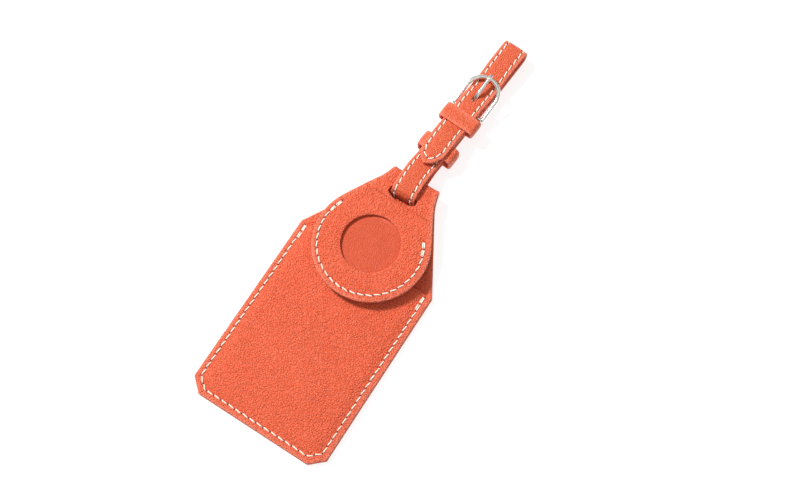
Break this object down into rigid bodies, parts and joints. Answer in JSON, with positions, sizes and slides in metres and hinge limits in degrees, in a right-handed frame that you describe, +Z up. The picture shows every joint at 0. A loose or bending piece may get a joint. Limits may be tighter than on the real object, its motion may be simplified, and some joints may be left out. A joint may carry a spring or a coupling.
{
  "type": "luggage tag",
  "caption": "Leather luggage tag with a card pocket, a folded round flap with a window, and a buckled strap threaded through its neck.",
  "frame": {"origin": "under the middle of the whole object, on the plane that its back lies on", "axes": "+Z up through the thickness, +Y from the pocket towards the strap, +X across the tag, to the right when the flap faces the viewer and the strap points up"},
  "size_m": [0.062, 0.1906, 0.01],
  "materials": {
    "leather": "semi-matt pebbled grain",
    "lining": "matt, fine smooth grain",
    "strap_leather": "semi-matt smooth grain",
    "thread": "waxed twisted thread",
    "card": "matt",
    "buckle_metal": "polished nickel plate"
  },
  "bodies": {
    "holder": {"back_panel": "leather", "front_panel": "leather", "pocket_stitching": "thread"},
    "card": {"address_card": "card"},
    "flap": {"flap_neck": "leather", "flap_panel": "leather", "flap_lining": "lining", "flap_stitching": "thread"},
    "strap": {"strap_bend": "strap_leather", "strap_loop": "strap_leather", "strap_buckle_end": "strap_leather", "loop_stitching": "thread", "buckle_end_stitching": "thread", "fixed_keeper": "strap_leather"},
    "keeper": {"loose_keeper": "strap_leather"},
    "buckle": {"buckle_frame": "buckle_metal"},
    "prong": {"buckle_prong": "buckle_metal"}
  },
  "joints": [
    {"name": "card_slide", "type": "slide", "parent": "holder", "child": "card", "axis": [0, 1, 0], "range_m": [0, 0.012]},
    {"name": "flap_lift", "type": "hinge", "parent": "holder", "child": "flap", "pos_m": [0, 0.00715, 0.0069], "axis": [-1, 0, 0], "range_deg": [0, 75], "deforming": ["flap_neck"]},
    {"name": "strap_swing", "type": "hinge", "parent": "holder", "child": "strap", "pos_m": [0, 0.02065, 0.0051], "axis": [1, 0, 0], "range_deg": [-60, 75], "deforming": ["strap_bend"]},
    {"name": "keeper_slide", "type": "slide", "parent": "strap", "child": "keeper", "axis": [0.0732, 0.9973, 0], "range_m": [-0.004, 0.003]},
    {"name": "buckle_tilt", "type": "hinge", "parent": "strap", "child": "buckle", "pos_m": [0.00104, 0.05906, 0.0045], "axis": [0.9973, -0.0732, 0], "range_deg": [0, 2.5]},
    {"name": "prong_lift", "type": "hinge", "parent": "buckle", "child": "prong", "pos_m": [0.00104, 0.05906, 0.0045], "axis": [0.9973, -0.0732, 0], "range_deg": [0, 3]}
  ]
}
